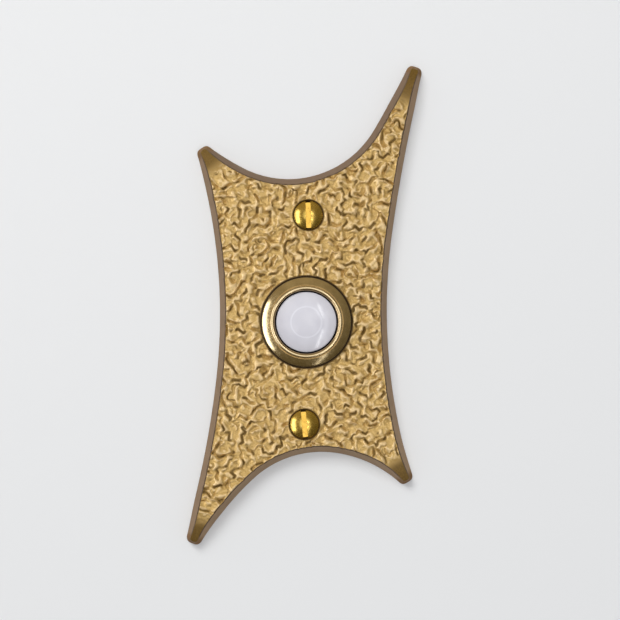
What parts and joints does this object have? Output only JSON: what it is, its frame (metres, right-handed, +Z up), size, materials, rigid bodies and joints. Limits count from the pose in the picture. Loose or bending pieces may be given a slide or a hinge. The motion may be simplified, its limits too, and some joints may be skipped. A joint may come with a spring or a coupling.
{
  "type": "doorbell push button",
  "caption": "Wall-mounted doorbell push: a cast brass plate with long curved horns and a creased face, a recessed round button in a brass bezel, and slotted wood screws.",
  "frame": {"origin": "axis of the push button where it meets the wall plane, at the plate's back face", "axes": "+Z up along the plate's long side, -Y out of the wall towards the visitor, +X to the visitor's right"},
  "size_m": [0.0512, 0.0247, 0.1095],
  "materials": {
    "plate_brass": "cast, creased and patinated, with a painted bevel",
    "bezel_brass": "polished",
    "screw_brass": "polished",
    "contact_brass": "satin",
    "cap_plastic": "gloss white",
    "barrel_plastic": "moulded, near black",
    "base_plastic": "pressed fibre board",
    "plated_steel": "zinc plated"
  },
  "bodies": {
    "plate": {"faceplate": "plate_brass", "barrel_housing": "barrel_plastic", "bezel_ring": "bezel_brass", "lock_washer": "plated_steel", "barrel_nut": "plated_steel", "terminal_base": "base_plastic", "contact_strip_left": "contact_brass", "contact_strip_right": "contact_brass", "terminal_nut_left": "contact_brass", "terminal_nut_right": "contact_brass", "terminal_washer_left": "plated_steel", "terminal_washer_right": "plated_steel", "terminal_screw_left": "plated_steel", "terminal_screw_right": "plated_steel", "mounting_screw_top": "screw_brass", "mounting_screw_bottom": "screw_brass", "return_spring": "plated_steel"},
    "button": {"push_cap": "cap_plastic", "contact_disc": "contact_brass", "stem_clip": "plated_steel"}
  },
  "joints": [
    {"name": "push_slide", "type": "slide", "parent": "plate", "child": "button", "axis": [0, 1, 0], "range_m": [0, 0.0018], "stiffness_N_per_m": 400, "springref_m": -0.004, "deforming": ["return_spring"]}
  ]
}
